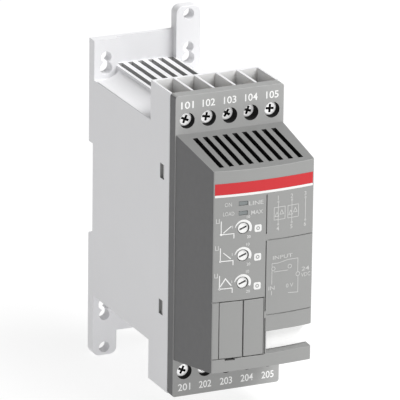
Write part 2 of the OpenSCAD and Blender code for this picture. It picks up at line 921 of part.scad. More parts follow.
// Saddle plate that the screw presses on the wire
module terminal_saddle(i) {
    lip = 0.7;
    color("goldenrod") translate([term_x(i), clamp_at(i), screw_z]) difference() {
        union() {
            middle_slab(saddle_w, saddle_back_d, saddle_front_d, -saddle_w / 2, saddle_w / 2);
            for (z = [-saddle_w / 2, saddle_w / 2 - lip])
                middle_slab(saddle_w, saddle_back_d - lip, saddle_front_d, z, z + lip);
        }
        rod(0, 0, saddle_back_d - cut, saddle_front_d + cut, shank_d + 2 * run);
    }
}

// Threaded bar that the wire is clamped on, with a leg down to the power board
module terminal_bar(i) {
    collar = 1.4;
    color("goldenrod") translate([term_x(i), 0, 0]) difference() {
        union() {
            middle_slab(bar_w, bar_back_d, bar_front_d, cell_z + fit, screw_z + saddle_w / 2);
            middle_slab(bar_tail_w, bar_back_d, bar_front_d, bar_leg_z - bar_t, screw_z);
            middle_slab(bar_tail_w, power_d, bar_front_d, bar_leg_z - bar_t, bar_leg_z);
            rod(0, screw_z, bar_back_d - collar, bar_front_d, shank_d + 2);
        }
        rod(0, screw_z, bar_back_d - 2 * collar, bar_front_d + cut, shank_d + 2 * run);
    }
}

base_housing();
front_housing();
rail_latch();
latch_spring();
port_cover();
blank_cover();
function_tag();
control_board();
power_board();
link_board();
heat_sink();
supply_transformer();
filter_capacitor();
port_connector();
board_screws();
for (i = [1:3]) {
    dial(i);
    potentiometer(i);
}
for (i = [1:2]) {
    light_pipe(i);
    status_led(i);
    thyristor_pack(i);
    bypass_relay(i);
}
for (row = [0:1]) for (i = [1:term_n]) mirror([0, 0, row]) {
    terminal_screw(i);
    terminal_saddle(i);
    terminal_bar(i);
}
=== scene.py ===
"""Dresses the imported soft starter: moulded housings, clamp hardware, a printed front and a plain studio."""
import json
import math

import bmesh
import bpy
from bpy.props import FloatProperty, FloatVectorProperty, IntProperty, PointerProperty
from mathutils import Matrix, Vector

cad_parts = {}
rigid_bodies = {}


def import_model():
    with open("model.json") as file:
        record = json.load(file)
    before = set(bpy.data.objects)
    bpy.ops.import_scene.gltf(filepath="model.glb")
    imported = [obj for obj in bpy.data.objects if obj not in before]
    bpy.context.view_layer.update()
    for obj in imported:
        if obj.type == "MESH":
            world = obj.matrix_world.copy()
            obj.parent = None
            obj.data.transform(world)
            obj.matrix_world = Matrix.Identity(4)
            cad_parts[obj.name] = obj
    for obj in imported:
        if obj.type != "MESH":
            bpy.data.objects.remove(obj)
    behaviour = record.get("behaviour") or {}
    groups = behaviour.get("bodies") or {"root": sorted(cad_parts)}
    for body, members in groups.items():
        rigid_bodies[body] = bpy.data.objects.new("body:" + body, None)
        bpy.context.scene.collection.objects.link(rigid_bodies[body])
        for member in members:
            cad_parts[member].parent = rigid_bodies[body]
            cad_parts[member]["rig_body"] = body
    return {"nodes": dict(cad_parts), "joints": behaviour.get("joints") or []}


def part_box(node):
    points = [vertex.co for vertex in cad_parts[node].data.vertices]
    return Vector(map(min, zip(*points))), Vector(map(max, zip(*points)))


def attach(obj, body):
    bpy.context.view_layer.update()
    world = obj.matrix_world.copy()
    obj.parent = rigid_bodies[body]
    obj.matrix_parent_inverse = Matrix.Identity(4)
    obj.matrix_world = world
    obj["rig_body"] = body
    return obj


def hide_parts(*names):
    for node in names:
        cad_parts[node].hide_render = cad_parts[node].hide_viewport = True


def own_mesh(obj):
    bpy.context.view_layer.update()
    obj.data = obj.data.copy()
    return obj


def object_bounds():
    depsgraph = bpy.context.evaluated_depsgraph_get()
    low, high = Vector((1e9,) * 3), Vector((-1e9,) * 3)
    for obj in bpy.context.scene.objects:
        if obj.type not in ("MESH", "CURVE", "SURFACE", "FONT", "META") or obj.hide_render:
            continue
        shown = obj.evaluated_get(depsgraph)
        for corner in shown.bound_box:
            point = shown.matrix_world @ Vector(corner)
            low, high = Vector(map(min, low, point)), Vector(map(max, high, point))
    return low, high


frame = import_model()
cad_box = [[float(value) for value in corner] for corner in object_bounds()]

bl_info = {
    "name": "Soft Starter Dresser",
    "version": (1, 0, 0),
    "blender": (4, 5, 0),
    "location": "3D View > Sidebar > Starter",
    "description": "Builds the visible pieces and the studio of a compact soft starter",
    "category": "Object",
}

MM = 0.001
ROWS = ("top", "bottom")
TERMINALS = range(1, 6)
DIALS = range(1, 4)

# Crowned front face: its depth at the middle, its half width and its crown
FRONT_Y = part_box("front_housing")[0].y
FRONT_HALF = 20.7 * MM
CROWN = 1.6 * MM
CROWN_R = (FRONT_HALF ** 2 + CROWN ** 2) / (2 * CROWN)
# Depth of the two terminal faces and of the hood ahead of them, in millimetres
TERMINAL_D = 81.5
HOOD_D = 32.5
# Half width and half height of the hood at the terminal faces, and how much of each it loses to the front
HOOD_X, TAPER_X = 22.1, 1.4
HOOD_Z, TAPER_Z = 45.1, 5.4


def colour(name, default, text):
    """Colour property with its default in linear light."""
    return FloatVectorProperty(
        name=name, description=text, default=default, min=0, max=1, size=3, subtype="COLOR")


def length(name, default, text):
    """Length property whose default is given in millimetres."""
    return FloatProperty(
        name=name, description=text, default=default * MM, min=0, unit="LENGTH", precision=5)


def angle(name, default, text):
    """Angle property whose default is given in degrees."""
    return FloatProperty(name=name, description=text, default=math.radians(default), subtype="ANGLE")


class StarterColours(bpy.types.PropertyGroup):
    """Colours of the materials"""
    base: colour("Base", (0.834, 0.834, 0.848), "Plastic of the light base")
    # Cells: a lit copy of the base plastic in the terminal cells, with painted shade that darkens it towards
    # the bottom
    cell: colour("Cells", (0.92, 0.92, 0.92), "Duller plastic of the terminal cells")
    # Snap windows: painted shade, a darker copy of the base plastic on the walls of the snap windows
    window: colour("Snap windows", (0.36, 0.36, 0.36), "Shaded walls of the snap windows")
    # Base inside: painted shade, a darker copy of the base plastic in the room and loft inside the base
    base_inner: colour("Base inside", (0.5, 0.5, 0.5), "Dull plastic inside the base")
    hood: colour("Hood", (0.322, 0.323, 0.318), "Plastic of the hood's front")
    # Terminal faces: painted light, a lighter copy of the hood plastic on the terminal faces and on the snap
    # arms in the windows
    hood_terminal: colour("Terminal faces", (0.413, 0.414, 0.409), "Plastic of the two terminal faces")
    # Hood ends: painted shade, a darker copy of the hood plastic on the vented ends and faces turned back or
    # up
    hood_end: colour("Hood ends", (0.23, 0.231, 0.228), "Plastic of the hood's vented ends")
    # Hood inside: painted shade, near black, in the hood, its wells and vents
    hood_inner: colour("Hood inside", (0.015, 0.015, 0.015), "Unlit plastic in the hood, wells and vents")
    # Hood sides: painted shade, a darker copy of the hood plastic; the deeper grain is real
    hood_side: colour("Hood sides", (0.158, 0.158, 0.16), "Deeper grained plastic of the hood's sides")
    band: colour("Band", (0.60, 0.036, 0.043), "Printed band above the lamps")
    band_ground: colour("Band ground", (0.5, 0.03, 0.035), "Thin spots of the printed band")
    print_white: colour("Print", (0.88, 0.88, 0.87), "Main print of the front face")
    print_words: colour("Word print", (0.66, 0.66, 0.65), "Words beside the lamps")
    print_pale: colour("Pale print", (0.6, 0.6, 0.59), "Fine print of the right fields")
    print_grey: colour("Grey print", (0.3, 0.3, 0.3), "Marks on the white squares")
    tag: colour("Tag", (0.97, 0.97, 0.965), "Writing tag")
    dial: colour("Dials", (0.86, 0.86, 0.85), "Setting dials")
    # Dial slots: painted shade in the slot of the setting dials
    dial_slot: colour("Dial slots", (0.24, 0.24, 0.24), "Shaded slot of the setting dials")
    lens: colour("Lamp windows", (0.2, 0.218, 0.22), "Windows of the status lamps")
    steel: colour("Steel", (0.95, 0.95, 0.955), "Plated screws and the spring")
    # Screw recess: painted shade, near black, in the cross recess of the screw heads
    recess: colour("Screw recess", (0.06, 0.06, 0.06), "Blackened recess of the screw heads")
    brass: colour("Clamps", (0.72, 0.6, 0.36), "Saddles and terminal bars")
    latch: colour("Latch", (0.3, 0.3, 0.31), "Sliding latch")
    board: colour("Boards", (0.02, 0.13, 0.05), "Circuit boards")
    sink: colour("Heat sink", (0.45, 0.46, 0.47), "Extruded heat sink")
    black: colour("Black plastic", (0.02, 0.02, 0.021), "Packs, relays and the plug header")
    wrap: colour("Transformer", (0.62, 0.36, 0.05), "Wrap of the supply transformer")
    sleeve: colour("Capacitor", (0.03, 0.05, 0.14), "Sleeve of the filter capacitor")
    blue: colour("Potentiometers", (0.06, 0.16, 0.34), "Bodies of the potentiometers")
    lamp: colour("Lamps", (0.5, 0.55, 0.42), "Bodies of the status lamps")


class StarterSizes(bpy.types.PropertyGroup):
    """Sizes of the details"""
    base_edge: length("Base edges", 0.3, "Rounding of the base's edges")
    hood_edge: length("Hood edges", 0.2, "Rounding of the hood's edges")
    small_edge: length("Small edges", 0.12, "Rounding of the small pieces' edges")
    print_lift: length("Print lift", 0.05, "Height of the print above its face")
    line: length("Line", 0.38, "Width of the printed lines")
    fine_line: length("Fine line", 0.3, "Width of the fine printed lines")
    thread_pitch: length("Thread pitch", 0.6, "Pitch of the clamp screws' thread")
    recess: length("Recess", 0.95, "Width of the cross recess in a screw head")
    spring_wire: length("Spring wire", 0.2, "Radius of the latch spring's wire")
    spring_turns: IntProperty(name="Spring turns", description="Turns of the latch spring", default=7, min=2)


class StarterStage(bpy.types.PropertyGroup):
    """Studio and camera"""
    sky: FloatProperty(name="Sky", description="Light from all around", default=0.32, min=0)
    key: FloatProperty(name="Key", description="Power of the soft light", default=60, min=0, unit="POWER")
    azimuth: angle("Azimuth", -24.734, "Turn of the camera about the unit")
    elevation: angle("Elevation", 18.889, "Height angle of the camera")
    roll: angle("Roll", 0.74, "Roll of the camera")
    distance: length("Distance", 1958.4, "Distance of the camera")
    lens: FloatProperty(
        name="Lens", description="Focal length on a 36 mm sensor", default=460.85, unit="CAMERA")


def colours():
    return bpy.context.scene.starter_colours


def sizes():
    return bpy.context.scene.starter_sizes


def stage():
    return bpy.context.scene.starter_stage


# Finishes

# Colour, roughness, grain scale, grain depth in millimetres, clouding, lift of the worn edges, specular level
PLASTICS = {
    "Base plastic": ("base", 0.55, 2400.0, 0.008, 0.03, 0.06, 0.3),
    "Cell plastic": ("cell", 0.6, 2000.0, 0.01, 0.1, 0.1, 0.2),
    "Base inner plastic": ("base_inner", 0.7, 1500.0, 0.015, 0.25, 0.1, 0.15),
    "Window plastic": ("window", 0.7, 1500.0, 0.015, 0.25, 0.1, 0.15),
    "Hood plastic": ("hood", 0.5, 2600.0, 0.01, 0.07, 0.06, 0.3),
    "Hood side plastic": ("hood_side", 0.62, 1700.0, 0.03, 0.05, 0.1, 0.2),
    "Hood end plastic": ("hood_end", 0.55, 2200.0, 0.014, 0.07, 0.08, 0.3),
    "Hood inner plastic": ("hood_inner", 0.7, 1500.0, 0.02, 0.2, 0.1, 0.1),
    "Terminal face plastic": ("hood_terminal", 0.5, 2200.0, 0.012, 0.05, 0.06, 0.3),
    "Tag plastic": ("tag", 0.45, 3000.0, 0.004, 0.02, 0.05, 0.3),
    "Dial plastic": ("dial", 0.38, 3200.0, 0.004, 0.02, 0.05, 0.3),
    "Dial slot": ("dial_slot", 0.6, 2600.0, 0.006, 0.2, 0.1, 0.15),
    "Lamp window": ("lens", 0.22, 900.0, 0.002, 0.1, 0.1, 0.5),
    "Latch plastic": ("latch", 0.5, 2200.0, 0.012, 0.08, 0.3, 0.3),
    "Black plastic": ("black", 0.45, 2400.0, 0.01, 0.2, 0.5, 0.3),
    "Transformer wrap": ("wrap", 0.4, 700.0, 0.03, 0.2, 0.2, 0.3),
    "Capacitor sleeve": ("sleeve", 0.3, 900.0, 0.004, 0.1, 0.2, 0.3),
    "Potentiometer plastic": ("blue", 0.45, 2600.0, 0.008, 0.1, 0.2, 0.3),
    "Lamp body": ("lamp", 0.3, 1800.0, 0.004, 0.15, 0.2, 0.3),
}
# Colour, roughness, streaks along the three axes, tarnish, depth of the streaks in millimetres, metallic
METALS = {
    "Plated steel": ("steel", 0.4, (260.0, 260.0, 260.0), 0.06, 0.0006, 0.5),
    "Recess steel": ("recess", 0.5, (260.0, 260.0, 260.0), 0.3, 0.002, 1.0),
    "Clamp metal": ("brass", 0.32, (160.0, 900.0, 900.0), 0.25, 0.004, 1.0),
    "Spring steel": ("steel", 0.3, (300.0, 300.0, 300.0), 0.3, 0.004, 1.0),
    "Sink metal": ("sink", 0.42, (900.0, 900.0, 60.0), 0.2, 0.004, 1.0),
    "Board screw steel": ("steel", 0.3, (700.0, 700.0, 700.0), 0.2, 0.004, 1.0),
}
# Colour, colour of the ground below it and cover
INKS = {
    "White print": ("print_white", "hood", 0.92),
    "Band print": ("band", "band_ground", 0.85),
    "Word print": ("print_words", "hood", 0.88),
    "Grey print": ("print_grey", "print_white", 0.92),
    "Pale print": ("print_pale", "hood", 0.9),
    "Number print": ("print_white", "hood", 0.92),
}
BOARDS = {"Circuit board": ("board",)}
INK_SPECULAR = 0.25
# Emission: the floor's own light keeps it an even pale ground; on the tag, the plated steel and the terminal
# numbers, which stand in a shaded place, it is painted light
GLOW = {"Tag plastic": 0.2, "Plated steel": 0.32, "Number print": 0.16, "Floor": 0.82}
# Painted shade: heights in millimetres between which a plastic darkens towards the middle, down into the
# terminal cells, and the share that is left
PAINTED_SHADE_FADES = {"Cell plastic": (53.0, 60.0, 0.3)}


class Tree:
    """Short hand for building one node tree."""

    def __init__(self, tree):
        self.tree = tree

    def put(self, socket, value):
        """Joins an output to a socket, or sets the socket to a plain value."""
        if isinstance(value, bpy.types.NodeSocket):
            self.tree.links.new(value, socket)
        else:
            socket.default_value = value

    def node(self, kind, values=(), **settings):
        made = self.tree.nodes.new(kind)
        for key, value in settings.items():
            setattr(made, key, value)
        for key, value in dict(values).items():
            self.put(made.inputs[key], value)
        return made

    def math(self, operation, *values):
        return self.node("ShaderNodeMath", enumerate(values), operation=operation).outputs[0]

    def vector(self, **parts):
        return self.node("ShaderNodeCombineXYZ", parts).outputs[0]

    def scaled(self, vector, factor):
        return self.node("ShaderNodeVectorMath", {0: vector, "Scale": factor}, operation="SCALE").outputs[0]

    def noise(self, place, scale, detail):
        values = {"Vector": place, "Scale": scale, "Detail": detail}
        return self.node("ShaderNodeTexNoise", values).outputs["Fac"]

    def mixed(self, share, first, second):
        """Mix of two colours, whose sockets are the seventh and eighth of the node."""
        return self.node("ShaderNodeMix", {0: share, 6: first, 7: second}, data_type="RGBA").outputs[2]

    def bump(self, height, distance):
        values = {"Strength": 1.0, "Distance": distance, "Height": height}
        return self.node("ShaderNodeBump", values).outputs["Normal"]

    def shape(self, kind, values=(), **settings):
        """First output of a Geometry Nodes node."""
        return self.node("GeometryNode" + kind, values, **settings).outputs[0]

    def joined(self, *parts):
        made = self.node("GeometryNodeJoinGeometry")
        for part in parts:
            self.put(made.inputs[0], part)
        return made.outputs[0]


def new_group(name, inputs, outputs, kind="ShaderNodeTree"):
    """Node group whose sockets are given by a kind or a default. Returns its tree and both ends' sockets."""
    tree = bpy.data.node_groups.new(name, kind)
    for direction, sockets in (("INPUT", inputs), ("OUTPUT", outputs)):
        for label, value in sockets.items():
            if isinstance(value, str):
                tree.interface.new_socket(label, in_out=direction, socket_type="NodeSocket" + value)
                continue
            socket = "Float" if isinstance(value, float) else {3: "Vector", 4: "Color"}[len(value)]
            made = tree.interface.new_socket(label, in_out=direction, socket_type="NodeSocket" + socket)
            made.default_value = value
    return Tree(tree), tree.nodes.new("NodeGroupInput").outputs, tree.nodes.new("NodeGroupOutput").inputs


def group_of(name, maker):
    """Node group of a name, which its maker builds the first time."""
    if name not in bpy.data.node_groups:
        maker(name)
    return bpy.data.node_groups[name]


SURFACE = {"Color": "Color", "Roughness": "Float", "Height": "Float"}


def moulded_group(name):
    """Moulded plastic: fine grain, broad clouding and paler worn edges."""
    t, take, out = new_group(name, {
        "Color": (0.5, 0.5, 0.5, 1), "Vector": "Vector", "Grain Scale": 2600.0, "Clouding": 0.05,
        "Roughness": 0.5, "Edge": 0.0, "Edge Lift": 0.2}, SURFACE)
    grain = t.noise(take["Vector"], take["Grain Scale"], 3.0)
    broad = t.noise(take["Vector"], 55.0, 4.0)
    patch = t.noise(take["Vector"], 420.0, 2.0)
    centred = t.math("SUBTRACT", t.math("ADD", broad, t.math("MULTIPLY", grain, 0.4)), 0.7)
    shade = t.math("MULTIPLY_ADD", centred, take["Clouding"], 1.0)
    worn = t.math("MULTIPLY", take["Edge"], t.math("MULTIPLY", patch, take["Edge Lift"]))
    rough = t.math("MULTIPLY_ADD", t.math("SUBTRACT", patch, 0.5), 0.22, take["Roughness"])
    t.put(out["Color"], t.scaled(take["Color"], t.math("ADD", shade, worn)))
    t.put(out["Roughness"], t.math("SUBTRACT", rough, t.math("MULTIPLY", worn, 0.5)))
    t.put(out["Height"], grain)


def metal_group(name):
    """Plated or rolled metal: fine streaks along one axis and faint tarnish."""
    t, take, out = new_group(name, {
        "Color": (0.8, 0.8, 0.8, 1), "Vector": "Vector", "Streaks": (900.0, 120.0, 900.0),
        "Tarnish": 0.15, "Roughness": 0.25}, SURFACE)
    drawn = t.node("ShaderNodeVectorMath", {0: take["Vector"], 1: take["Streaks"]}, operation="MULTIPLY")
    streak = t.noise(drawn.outputs["Vector"], 3.0, 3.0)
    dull = t.math("MULTIPLY", t.noise(take["Vector"], 260.0, 4.0), take["Tarnish"])
    rough = t.math("MULTIPLY_ADD", t.math("SUBTRACT", streak, 0.5), 0.25, take["Roughness"])
    t.put(out["Color"], t.scaled(take["Color"], t.math("SUBTRACT", 1.06, dull)))
    t.put(out["Roughness"], t.math("ADD", rough, t.math("MULTIPLY", dull, 0.6)))
    t.put(out["Height"], streak)


def ink_group(name):
    """Screen print: slightly uneven cover with the ground showing in fine specks."""
    t, take, out = new_group(name, {
        "Color": (0.9, 0.9, 0.9, 1), "Ground": (0.3, 0.3, 0.3, 1), "Vector": "Vector", "Cover": 0.9,
    }, {"Color": "Color", "Roughness": "Float"})
    speck = t.noise(take["Vector"], 2200.0, 2.0)
    pool = t.noise(take["Vector"], 240.0, 3.0)
    hole = t.math("MULTIPLY", t.math("SUBTRACT", 1.0, take["Cover"]), t.math("ADD", speck, pool))
    t.put(out["Color"], t.mixed(hole, take["Color"], take["Ground"]))
    t.put(out["Roughness"], t.math("MULTIPLY_ADD", pool, 0.3, 0.35))


def paint(key):
    return (*getattr(colours(), key), 1)


def new_material(name):
    """Empty material. Returns its tree, the sockets of its Principled shader and its object coordinates."""
    made = bpy.data.materials.new(name)
    made.use_nodes = True
    t = Tree(made.node_tree)
    shader = made.node_tree.nodes["Principled BSDF"].inputs
    # Painted light: the tag, plated steel and terminal numbers glow, and the floor gets its even light
    if name in GLOW:
        shader["Emission Color"].default_value = (1, 1, 1, 1)
        shader["Emission Strength"].default_value = GLOW[name]
    return t, shader, t.node("ShaderNodeTexCoord").outputs["Object"]


def join_group(t, group, shader, values, depth=None):
    """Places a group in a material and joins its outputs to the shader."""
    made = t.node("ShaderNodeGroup", values, node_tree=group)
    t.put(shader["Base Color"], made.outputs["Color"])
    t.put(shader["Roughness"], made.outputs["Roughness"])
    if depth:
        t.put(shader["Normal"], t.bump(made.outputs["Height"], depth * MM))
    return made


def plastic(name, shade, roughness, grain, depth, clouding, lift, specular):
    """Moulded plastic, whose rounded edges are marked by the mesh."""
    t, shader, place = new_material(name)
    worn = t.node("ShaderNodeAttribute", attribute_name="worn").outputs["Fac"]
    group = join_group(t, group_of("Moulded Surface", moulded_group), shader, {
        "Vector": place, "Color": paint(shade), "Grain Scale": grain, "Clouding": clouding,
        "Roughness": roughness, "Edge": worn, "Edge Lift": lift}, depth)
    shader["Specular IOR Level"].default_value = specular
    # Painted shade: the colour darkens down into the terminal cells
    if name in PAINTED_SHADE_FADES:
        low, high, left = PAINTED_SHADE_FADES[name]
        height = t.math("ABSOLUTE", t.node("ShaderNodeSeparateXYZ", {0: place}).outputs["Z"])
        share = t.node("ShaderNodeMapRange", {
            "Value": height, "From Min": low * MM, "From Max": high * MM, "To Min": left}).outputs["Result"]
        t.put(shader["Base Color"], t.scaled(group.outputs["Color"], share))


def metal(name, shade, roughness, streaks, tarnish, depth, metallic):
    t, shader, place = new_material(name)
    join_group(t, group_of("Worked Metal", metal_group), shader, {
        "Vector": place, "Color": paint(shade), "Streaks": streaks, "Tarnish": tarnish,
        "Roughness": roughness}, depth)
    shader["Metallic"].default_value = metallic


def ink(name, shade, ground, cover):
    t, shader, place = new_material(name)
    join_group(t, group_of("Screen Print", ink_group), shader, {
        "Vector": place, "Color": paint(shade), "Ground": paint(ground), "Cover": cover})
    shader["Specular IOR Level"].default_value = INK_SPECULAR


def lacquered_board(name, shade):
    """Circuit board: lacquer over copper tracks on a square raster, with tinned pads."""
    t, shader, place = new_material(name)
    tracks = t.node("ShaderNodeTexBrick", {
        "Vector": place, "Scale": 260.0, "Mortar Size": 0.018, "Brick Width": 0.9, "Row Height": 0.3,
        "Color1": paint(shade), "Color2": (0.018, 0.115, 0.045, 1), "Mortar": (0.05, 0.2, 0.07, 1)})
    pads = t.node("ShaderNodeTexVoronoi", {"Vector": place, "Scale": 420.0, "Randomness": 0.15})
    pad = t.math("LESS_THAN", pads.outputs["Distance"], 0.2)
    t.put(shader["Base Color"], t.mixed(pad, tracks.outputs["Color"], (0.6, 0.6, 0.58, 1)))
    t.put(shader["Roughness"], t.math("MULTIPLY_ADD", pad, -0.12, 0.36))
    t.put(shader["Normal"], t.bump(tracks.outputs["Fac"], 0.03 * MM))


MAKERS = ((plastic, PLASTICS), (metal, METALS), (ink, INKS), (lacquered_board, BOARDS))


def finish(name):
    """Material of a name in the tables, made the first time."""
    if name not in bpy.data.materials:
        maker, table = next(pair for pair in MAKERS if name in pair[1])
        maker(name, *table[name])
    return bpy.data.materials[name]


# Pieces


def link(name, data):
    made = bpy.data.objects.new(name, data)
    bpy.context.scene.collection.objects.link(made)
    return made


def body_of(node):
    return frame["nodes"][node]["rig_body"]


def as_mesh(source, name):
    """Plain mesh of an object with its modifiers applied. The object is removed."""
    graph = bpy.context.evaluated_depsgraph_get()
    mesh = bpy.data.meshes.new_from_object(
        source.evaluated_get(graph), preserve_all_data_layers=True, depsgraph=graph)
    mesh.name = name
    data = source.data
    bpy.data.objects.remove(source)
    (bpy.data.meshes if isinstance(data, bpy.types.Mesh) else bpy.data.curves).remove(data)
    return mesh


def region_of(bm, bend):
    """Number of the smooth region each face belongs to."""
    region = {}
    for first in bm.faces:
        waiting = [] if first in region else [first]
        while waiting:
            face = waiting.pop()
            if face in region:
                continue
            region[face] = first.index
            waiting += [other for edge in face.edges if len(edge.link_faces) == 2
                        and edge.calc_face_angle() < math.radians(bend) for other in edge.link_faces]
    return region


def outer_edges(bm, bend=6):
    """Edges on the outer boundary of both smooth regions they part, so no rims of holes."""
    region = region_of(bm, bend)
    boundary = {}
    for edge in bm.edges:
        numbers = [region[face] for face in edge.link_faces]
        if len(numbers) == 2 and numbers[0] != numbers[1]:
            for number in numbers:
                boundary.setdefault(number, set()).add(edge)
    inner = set()
    for edges in boundary.values():
        loops = []
        left = set(edges)
        while left:
            waiting, loop = [left.pop()], set()
            while waiting:
                edge = waiting.pop()
                loop.add(edge)
                near = {other for vert in edge.verts for other in vert.link_edges if other in left}
                left -= near
                waiting += near
            loops.append(loop)
        spans = [max((a.co - b.co).length for edge in loop for a in edge.verts[:1]
                     for b in next(iter(loop)).verts) for loop in loops]
        for loop, span in zip(loops, spans):
            if span < max(spans):
                inner |= loop
    return set().union(*boundary.values()) - inner


def long_edges(bm, shortest, sharpest=38, straightest=20):
    """Outer edges that get a rounding: long ones, and the short ones that carry them on round a corner."""
    sharp = {edge for edge in outer_edges(bm)
             if edge.is_convex and edge.calc_face_angle() > math.radians(sharpest)}
    chosen = {edge for edge in sharp if edge.calc_length() > shortest}
    waiting = list(chosen)
    while waiting:
        edge = waiting.pop()
        for vert in edge.verts:
            along = (vert.co - edge.other_vert(vert).co).normalized()
            for other in vert.link_edges:
                if other in sharp and other not in chosen:
                    ahead = (other.other_vert(vert).co - vert.co).normalized()
                    if along.angle(ahead, math.pi) < math.radians(straightest):
                        chosen.add(other)
                        waiting.append(other)
    return chosen


def crossed_faces(mesh, slack=1.02, speck=0.02 * MM ** 2):
    """Faces whose triangles cover more than the face itself, so its outline crosses itself."""
    mesh.calc_loop_triangles()
    cover = [0.0] * len(mesh.polygons)
    for triangle in mesh.loop_triangles:
        cover[triangle.polygon_index] += triangle.area
    return [polygon for polygon in mesh.polygons if cover[polygon.index] > slack * polygon.area + speck]


def rounded_copy(node, edge, segments=2, flat=0.4, shortest=1.6 * MM, weld=0.002 * MM, tries=4):
    """Mesh of a node with merged faces and rounded outer edges. A face attribute marks the rounded edges."""
    bm = bmesh.new()
    bm.from_mesh(frame["nodes"][node].data)
    bmesh.ops.remove_doubles(bm, verts=bm.verts, dist=weld)
    bmesh.ops.dissolve_limit(bm, angle_limit=math.radians(flat), verts=bm.verts, edges=bm.edges)
    for face in bm.faces:
        face.material_index = 0
        face.smooth = True
    weight = bm.edges.layers.float.new("bevel_weight_edge")
    chosen = long_edges(bm, shortest)
    for _ in range(tries):
        for each in bm.edges:
            each[weight] = float(each in chosen)
        rounded = bevelled(bm, node, edge, segments)
        spots = [(polygon.center.copy(), 2 * edge + math.sqrt(polygon.area))
                 for polygon in crossed_faces(rounded)]
        if not spots:
            break
        chosen = {each for each in chosen if not any(
            ((each.verts[0].co + each.verts[1].co) / 2 - spot).length < reach for spot, reach in spots)}
    bm.free()
    is_edge = [polygon.material_index == 1 for polygon in rounded.polygons]
    even_normals(rounded, is_edge)
    worn = rounded.attributes.new("worn", "FLOAT", "FACE")
    for polygon in rounded.polygons:
        worn.data[polygon.index].value = float(is_edge[polygon.index])
        polygon.material_index = 0
    rounded.materials.clear()
    return rounded


def bevelled(bm, node, edge, segments):
    """Mesh with its weighted edges rounded. The rounded faces have the second material slot."""
    mesh = bpy.data.meshes.new(node)
    bm.to_mesh(mesh)
    mesh.materials.clear()
    for _ in range(2):
        mesh.materials.append(None)
    made = link(node + "_rounding", mesh)
    bevel = made.modifiers.new("Rounding", "BEVEL")
    bevel.limit_method = "WEIGHT"
    bevel.width = edge
    bevel.segments = segments
    bevel.use_clamp_overlap = False
    bevel.loop_slide = False
    bevel.material = 1
    return as_mesh(made, node + "_rounded")


def even_normals(mesh, is_edge, limit=25):
    """Keeps flat faces flat and lets the rounded edges run smoothly from one to the next."""
    near = math.cos(math.radians(limit))
    around = [[] for _ in mesh.vertices]
    for polygon in mesh.polygons:
        for loop in polygon.loop_indices:
            around[mesh.loops[loop].vertex_index].append((loop, polygon))
    normals = [None] * len(mesh.loops)
    for corners in around:
        plain = [polygon for _, polygon in corners if not is_edge[polygon.index]]
        fans = []
        for polygon in sorted(plain, key=lambda polygon: -polygon.area):
            for fan in fans:
                if fan[0].dot(polygon.normal) > near:
                    fan[1] += polygon.normal * polygon.area
                    break
            else:
                fans.append([polygon.normal.copy(), polygon.normal * polygon.area])
        if not fans:
            fans.append([None, sum((polygon.normal * polygon.area for _, polygon in corners), Vector())])
        means = [fan[1].normalized() for fan in fans]
        for loop, polygon in corners:
            normals[loop] = max(means, key=polygon.normal.dot)
    mesh.shade_smooth()
    mesh.normals_split_custom_set(normals)


def stand_in(node, mesh, slot, *finishes):
    """Piece that replaces a node and rides on the node's body."""
    for name in finishes:
        mesh.materials.append(finish(name))
    made = link(node + "_finish", mesh)
    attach(made, body_of(node))
    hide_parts(node)
    return made


def small_piece(node, slot, *finishes):
    """Rounded copy of a small node."""
    stand_in(node, rounded_copy(node, sizes().small_edge), slot, *finishes)


def coat(name, *nodes):
    """Gives CAD nodes that keep their shape a finish."""
    for node in nodes:
        for slot in frame["nodes"][node].material_slots:
            slot.material = finish(name)


def front_y(x):
    """Depth of the crowned front face at a place across it."""
    return FRONT_Y + CROWN_R - math.sqrt(CROWN_R ** 2 - x ** 2)


# Print


